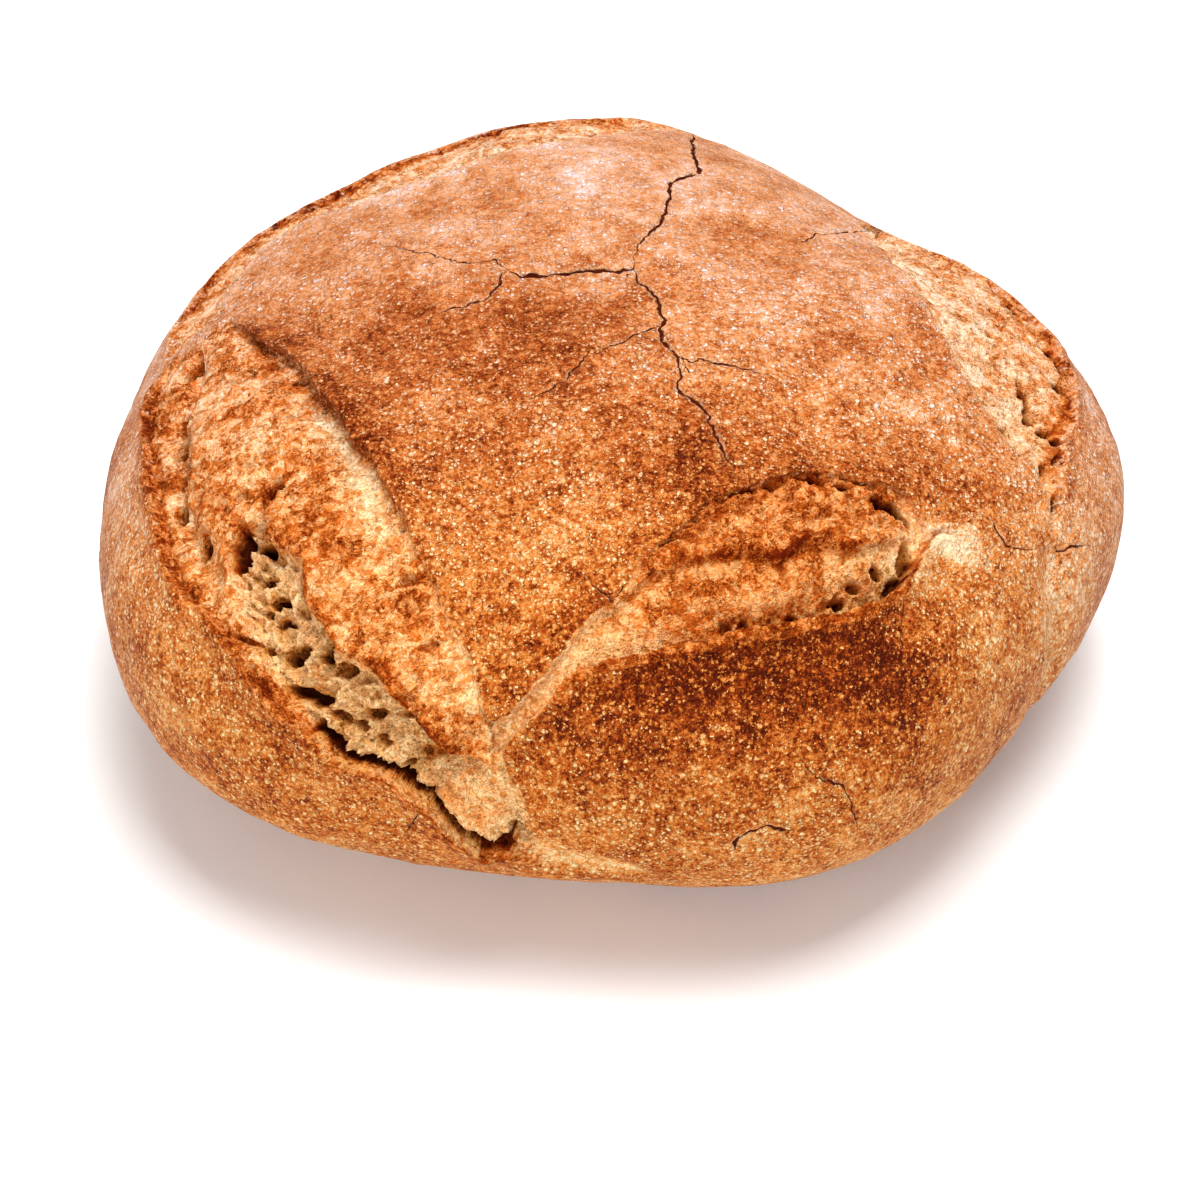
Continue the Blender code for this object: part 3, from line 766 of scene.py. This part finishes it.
at = place_node("ShaderNodeSeparateXYZ", [("Vector", in_mm)]).outputs
spread = between(at["Y"], -90.0, 70.0, 1.15, 0.50)
specked = sum_of("ADD", away_from_half(mottle, 0.90), away_from_half(speck, 1.10))
specked = sum_of("ADD", specked, away_from_half(dust, 0.25))
bake = sum_of("ADD", sum_of("MINIMUM", note("bake"), 0.84), away_from_half(coarse, 0.50))
bake = sum_of("ADD", bake, sum_of("MULTIPLY", specked, spread))
big_specks = blisters_of(2.1, 0.28, 0.0)
small_specks = sum_of("MAXIMUM", blisters_of(1.15, 0.34, 9.0), blisters_of(0.70, 0.38, 5.0))
flecks = sum_of("MAXIMUM", sum_of("MULTIPLY", big_specks, 0.8), small_specks)
flecks = sum_of("MULTIPLY", flecks, between(coarse, 0.30, 0.70, 0.65, 1.15))
paler = sum_of("MULTIPLY", sum_of("MULTIPLY", flecks, 0.58), spread)
skin = ramp_of(BAKES, sum_of("SUBTRACT", sum_of("ADD", bake, 0.09), paler))
# Painted sheen: the crust is drawn paler and whiter towards the back and top, and more saturated towards
# the front.
backward = between(at["Y"], -105.0, 30.0)
painted_sheen = sum_of("MULTIPLY", backward, between(at["Z"], 20.0, 90.0, 0.50, 1.0))
sheen_tint = blend_of(painted_sheen, *SKIN_SHEEN_TINTS)
skin = blend_of(1.0, skin, sheen_tint, "MULTIPLY")

pulled = [("Vector", in_mm), ("Rotation", (0, 0, math.radians(26))), ("Scale", (5.0, 1.1, 3.0))]
pulled = place_node("ShaderNodeMapping", pulled, vector_type="TEXTURE").outputs["Vector"]
streaks = place_node("ShaderNodeTexNoise", [("Vector", pulled), ("Detail", 3.0), ("Roughness", 0.6)])
wrinkle = sum_of("ABSOLUTE", sum_of("SUBTRACT", grain(1.7, 2.0, 0.55, 0.8), 0.5))
wrinkles = between(wrinkle, 0.055, 0.0)
# Thin creases in the torn skin, pressed in by the bump and painted darker as shade.
crease = sum_of("ABSOLUTE", sum_of("SUBTRACT", grain(3.2, 4.0, 0.62, 1.2), 0.5))
shaded_creases = sum_of("MULTIPLY", between(crease, 0.028, 0.004), between(coarse, 0.42, 0.58))
toasted = between(note("toast"), 0.16, 0.42)
patch = away_from_half(between(grain(2.6, 4.0, 0.65, 0.6), 0.43, 0.57), 0.34)
patch = sum_of("ADD", patch, away_from_half(streaks.outputs["Fac"], 0.80))
toast = sum_of("ADD", note("toast"), away_from_half(coarse, 0.40))
toast = sum_of("ADD", toast, sum_of("MULTIPLY", patch, between(note("toast"), 0.10, 0.42, 0.35, 1.0)))
toast = sum_of("ADD", toast, away_from_half(speck, 0.70))
toast = sum_of("ADD", toast, away_from_half(dust, 0.15))
paler = sum_of("ADD", sum_of("MULTIPLY", wrinkles, 0.22), sum_of("MULTIPLY", flecks, 0.16))
paler = sum_of("SUBTRACT", paler, sum_of("MULTIPLY", shaded_creases, 0.26))
toast = sum_of("SUBTRACT", toast, sum_of("MULTIPLY", paler, toasted))
crumb = ramp_of(CRUMBS, toast)
# Pores in the crumb, pressed in by the bump and painted darker as shade.
shaded_pores = sum_of("MAXIMUM", blisters_of(2.3, 0.28, 21.0), blisters_of(1.1, 0.30, 33.0))
shaded_pores = sum_of("MULTIPLY", shaded_pores, between(note("toast"), 0.20, 0.50, 1.0, 0.15))
# Painted shade: the crumb is drawn darker in its hollows, holes and pores.
hollow_shade = sum_of("ADD", note("pit"), sum_of("MULTIPLY", shaded_pores, 0.42), clamp=True)
crumb = blend_of(1.0, crumb, ramp_of(HOLLOW_SHADES, hollow_shade), "MULTIPLY")

rag = sum_of("ADD", away_from_half(mottle, 1.6), away_from_half(coarse, 0.8))
is_open = between(sum_of("ADD", note("open"), rag), -0.15, 0.25)
crumb_tint = blend_of(backward, *CRUMB_TINTS)
crumb = blend_of(1.0, crumb, crumb_tint, "MULTIPLY")
colour = blend_of(is_open, skin, crumb)
line = sum_of("SUBTRACT", note("split_width"), sum_of("ABSOLUTE", note("split")))
in_crack = sum_of("MULTIPLY", between(line, -0.12, 0.08), sum_of("SUBTRACT", 1.0, is_open))
beside_crack = sum_of("MULTIPLY", between(line, -1.1, -0.2), between(note("split_width"), 0.08, 0.25))
pale_lips = sum_of("MULTIPLY", beside_crack, between(mottle, 0.40, 0.60, 0.0, 0.45))
colour = blend_of(pale_lips, colour, LIP_CREAM)
# Painted shade: the narrow cracks are drawn near black in place of the shade inside a groove finer than the
# mesh.
colour = blend_of(in_crack, colour, CRACK_SHADE)
feed(surface.inputs["Base Color"], colour)

rough = between(is_open, 0.0, 1.0, 0.50, 0.80)
feed(surface.inputs["Roughness"], rough)
surface.inputs["Specular IOR Level"].default_value = 0.04

blisters = sum_of("ADD", sum_of("MULTIPLY", big_specks, 0.50), sum_of("MULTIPLY", flecks, 0.50))
blisters = sum_of("ADD", blisters, sum_of("MULTIPLY", mottle, 2.2))
blisters = sum_of("ADD", blisters, sum_of("MULTIPLY", speck, 0.6))
torn_relief = sum_of("ADD", sum_of("MULTIPLY", speck, 0.40), 0.85)
torn_relief = sum_of("ADD", torn_relief, sum_of("MULTIPLY", mottle, 0.6))
torn_relief = sum_of("ADD", torn_relief, sum_of("MULTIPLY", wrinkles, 0.28))
torn_relief = sum_of("ADD", torn_relief, sum_of("MULTIPLY", patch, 0.4))
torn_relief = sum_of("SUBTRACT", torn_relief, sum_of("MULTIPLY", shaded_creases, 0.25))
torn_relief = sum_of("SUBTRACT", torn_relief, sum_of("MULTIPLY", shaded_pores, 0.60))
height = place_node("ShaderNodeMix", data_type="FLOAT")
feed(height.inputs[0], is_open)
feed(height.inputs[2], blisters)
feed(height.inputs[3], torn_relief)
height = sum_of("SUBTRACT", height.outputs[0], sum_of("MULTIPLY", in_crack, 0.5))
bump = place_node("ShaderNodeBump", [("Strength", 1.0), ("Distance", MM), ("Height", height)])
feed(surface.inputs["Normal"], bump.outputs["Normal"])

loaf.data.materials.clear()
loaf.data.materials.append(crust)
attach(loaf, "root")
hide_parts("loaf")


# The studio: a pale floor.
bpy.ops.object.select_all(action="DESELECT")
bpy.ops.mesh.primitive_plane_add(size=6.0, location=(0, 0, 0))
floor = bpy.context.object
floor.name = floor.data.name = "floor"
white = bpy.data.materials.new("floor_white")
white.use_nodes = True
white.node_tree.nodes["Principled BSDF"].inputs["Base Color"].default_value = (0.9, 0.9, 0.9, 1)
white.node_tree.nodes["Principled BSDF"].inputs["Roughness"].default_value = 0.9
floor.data.materials.append(white)


def soft_light(name, place, aim, size, power):
    light = bpy.data.objects.new(name, bpy.data.lights.new(name, "AREA"))
    light.data.shape = "RECTANGLE"
    light.data.size, light.data.size_y = size
    light.data.energy = power
    light.location = place
    light.rotation_euler = (Vector(aim) - Vector(place)).to_track_quat("-Z", "Y").to_euler()
    bpy.context.scene.collection.objects.link(light)


soft_light("key", (0.10, 0.08, 1.10), (0, 0, 0.05), (0.8, 0.7), 18.8)
soft_light("fill", (-0.35, -1.15, 0.50), (0, 0, 0.04), (1.4, 0.8), 12.0)
world = bpy.data.worlds.new("studio")
world.use_nodes = True
world.node_tree.nodes["Background"].inputs["Color"].default_value = (1, 1, 1, 1)
world.node_tree.nodes["Background"].inputs["Strength"].default_value = 0.39
bpy.context.scene.world = world
bpy.context.scene.view_settings.view_transform = "Standard"


# The camera looks down on the loaf from the front, through a long lens.
CAMERA_LIFT = math.radians(42.0)
CAMERA_AIM = Vector((-3.7, -42.0, 45.0)) * MM
camera = bpy.data.objects.new("camera", bpy.data.cameras.new("camera"))
camera.data.lens = 110.7
camera.data.sensor_width = 36.0
camera.location = CAMERA_AIM + 0.85 * Vector((0, -math.cos(CAMERA_LIFT), math.sin(CAMERA_LIFT)))
camera.rotation_euler = (math.pi / 2 - CAMERA_LIFT, 0, 0)
bpy.context.scene.collection.objects.link(camera)
bpy.context.scene.camera = camera
